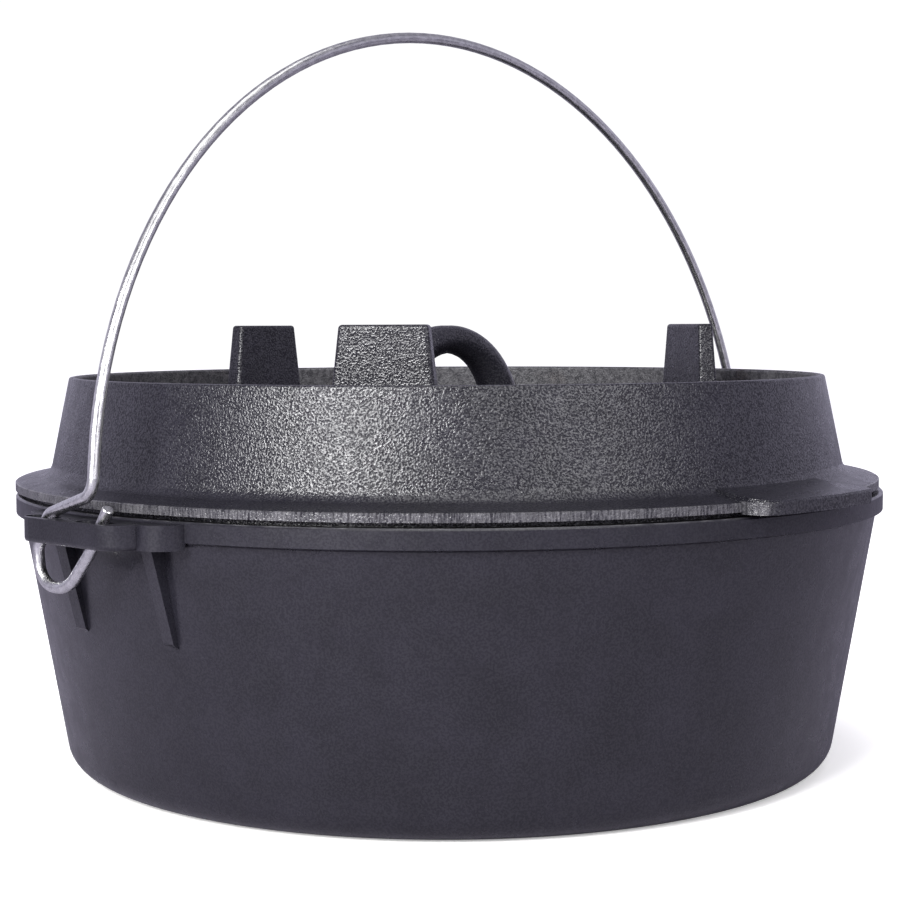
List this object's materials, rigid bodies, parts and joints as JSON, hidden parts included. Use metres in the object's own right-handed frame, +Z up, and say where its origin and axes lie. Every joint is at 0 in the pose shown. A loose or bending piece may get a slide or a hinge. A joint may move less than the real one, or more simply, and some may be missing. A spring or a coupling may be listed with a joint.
{
  "type": "dutch oven",
  "caption": "Round cast iron dutch oven: flat-based pot with slotted ears, a footed lid with a charcoal ring and loop handle, and a wire bail that tilts.",
  "frame": {"origin": "middle of the pot's flat base, on the surface it stands on", "axes": "+Z up along the pot's axis, +X through an ear, -Y towards the lid's lifting tab"},
  "size_m": [0.363, 0.3402, 0.2779],
  "materials": {
    "cast_iron": "seasoned as-cast iron, fine orange-peel, satin",
    "cast_iron_lid": "seasoned as-cast iron, orange-peel, ground flange edge",
    "steel_wire": "bright drawn wire"
  },
  "bodies": {
    "pot": {"pot": "cast_iron"},
    "lid": {"lid": "cast_iron_lid"},
    "bail": {"bail": "steel_wire"}
  },
  "joints": [
    {"name": "lid_lift", "type": "slide", "parent": "pot", "child": "lid", "axis": [0, 0, 1], "range_m": [0, 0.03]},
    {"name": "bail_tilt", "type": "hinge", "parent": "pot", "child": "bail", "pos_m": [0, 0.015, 0.099], "axis": [1, 0, 0], "range_deg": [-50, 0]}
  ]
}
